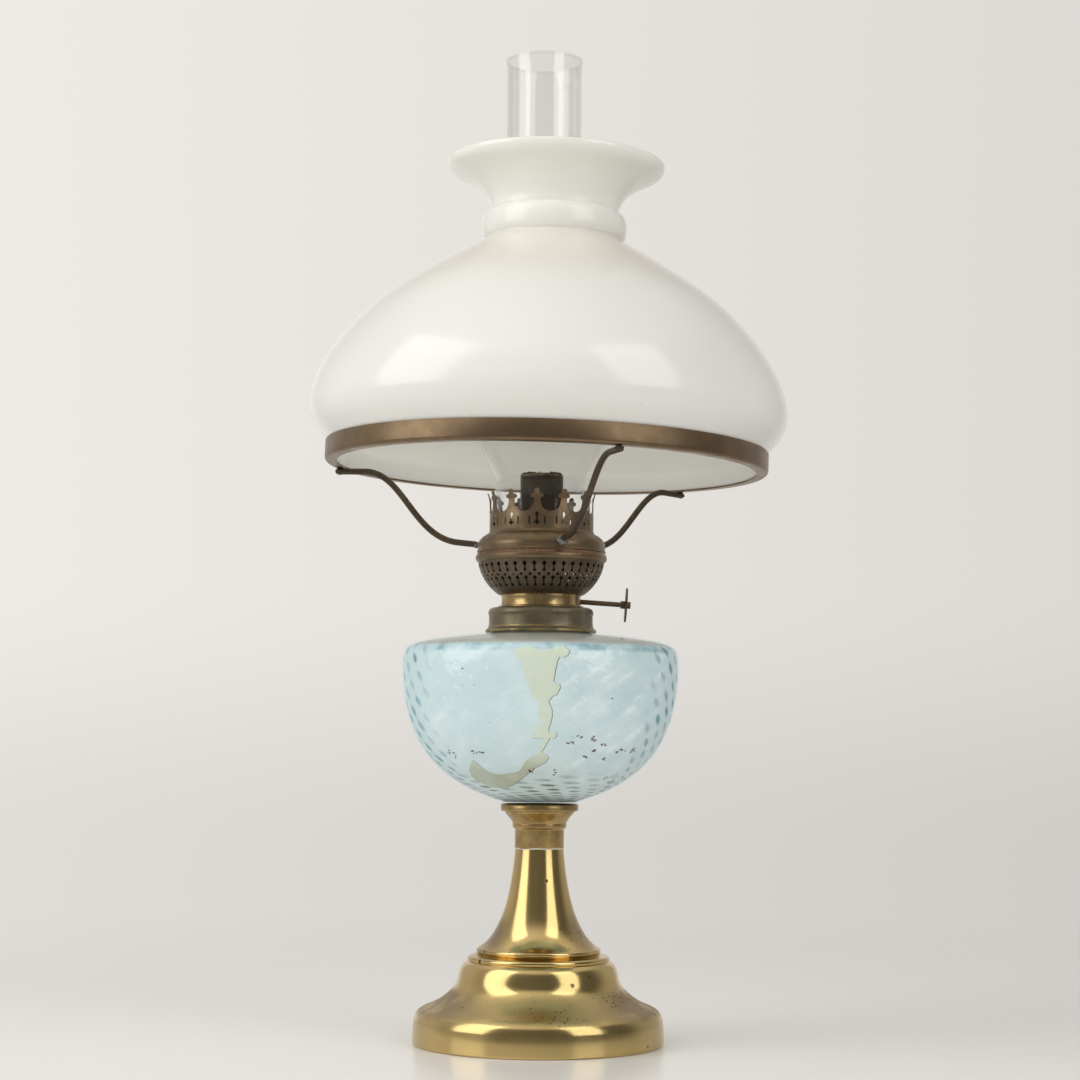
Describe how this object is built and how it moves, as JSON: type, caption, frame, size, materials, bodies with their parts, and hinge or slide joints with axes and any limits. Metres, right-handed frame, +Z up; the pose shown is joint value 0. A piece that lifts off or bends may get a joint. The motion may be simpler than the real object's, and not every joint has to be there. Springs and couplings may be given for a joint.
{
  "type": "kerosene table lamp",
  "caption": "Oil table lamp with a spun brass foot, a glass font, a round-wick burner, a tall glass chimney and an opal glass shade on a wire-held ring.",
  "frame": {"origin": "on the table, under the middle of the foot", "axes": "+Z up the lamp, -Y towards the viewer, +X to the viewer's right, where the wick knob is"},
  "size_m": [0.2591, 0.2591, 0.5332],
  "materials": {
    "polished_brass": "polished, with dark pits and dull patches",
    "cast_brass": "cast, matt ochre",
    "dark_brass": "olive-brown tarnish with bright glints",
    "patinated_brass": "brown patina with reddish edges",
    "sooted_brass": "heat-darkened, dull",
    "bronze_wire": "brown satin",
    "solder": "dull grey, lumpy",
    "sheet_iron": "plain sheet",
    "iron": "plain",
    "plaster": "set plaster, matt",
    "blue_glass": "clear pale-blue glass with a worn pale-blue lining",
    "clear_glass": "clear, glossy",
    "opal_glass": "opal white, glossy",
    "cotton_wick": "woven cotton with a charred edge"
  },
  "bodies": {
    "stand": {"foot_shell": "polished_brass", "foot_filling": "plaster", "bottom_plate": "sheet_iron", "tie_rod": "iron", "tie_nut": "iron", "tie_washer": "iron", "font_cup": "cast_brass", "cup_cement": "plaster", "font": "blue_glass", "collar_cement": "plaster", "font_collar": "dark_brass"},
    "burner": {"burner_base": "polished_brass", "drip_plate": "dark_brass", "wick_tube": "sooted_brass", "draught_tube": "sooted_brass", "burner_basket": "patinated_brass", "shaft_bush": "dark_brass", "raiser_bracket": "dark_brass"},
    "raiser": {"raiser_shaft": "dark_brass", "raiser_wheels": "dark_brass", "wick_knob": "dark_brass"},
    "wick": {"wick": "cotton_wick"},
    "gallery": {"gallery_dome": "patinated_brass", "air_diffuser": "patinated_brass", "chimney_crown": "patinated_brass", "shade_wire_front": "bronze_wire", "shade_wire_right": "bronze_wire", "shade_wire_left": "bronze_wire", "wire_solder": "solder", "ring_solder": "solder", "shade_ring": "bronze_wire"},
    "chimney": {"chimney": "clear_glass"},
    "shade": {"shade": "opal_glass"}
  },
  "joints": [
    {"name": "burner_screw", "type": "hinge", "parent": "stand", "child": "burner", "pos_m": [0, 0, 0.2318], "axis": [0, 0, 1], "range_deg": [0, 1080]},
    {"name": "knob_turn", "type": "hinge", "parent": "burner", "child": "raiser", "pos_m": [0, 0.01385, 0.2372], "axis": [-0.998, 0, 0.0628], "range_deg": [-190, 128]},
    {"name": "wick_feed", "type": "slide", "parent": "burner", "child": "wick", "axis": [0, 0, 1], "range_m": [-0.012, 0.008]},
    {"name": "gallery_lift", "type": "slide", "parent": "burner", "child": "gallery", "axis": [0, 0, 1], "range_m": [0, 0.06]},
    {"name": "chimney_lift", "type": "slide", "parent": "gallery", "child": "chimney", "axis": [0, 0, 1], "range_m": [0, 0.06]},
    {"name": "shade_lift", "type": "slide", "parent": "gallery", "child": "shade", "axis": [0, 0, 1], "range_m": [0, 0.26]}
  ],
  "couplings": [
    {"joint": "wick_feed", "follows": "knob_turn", "m_per_rad": 0.0035}
  ]
}
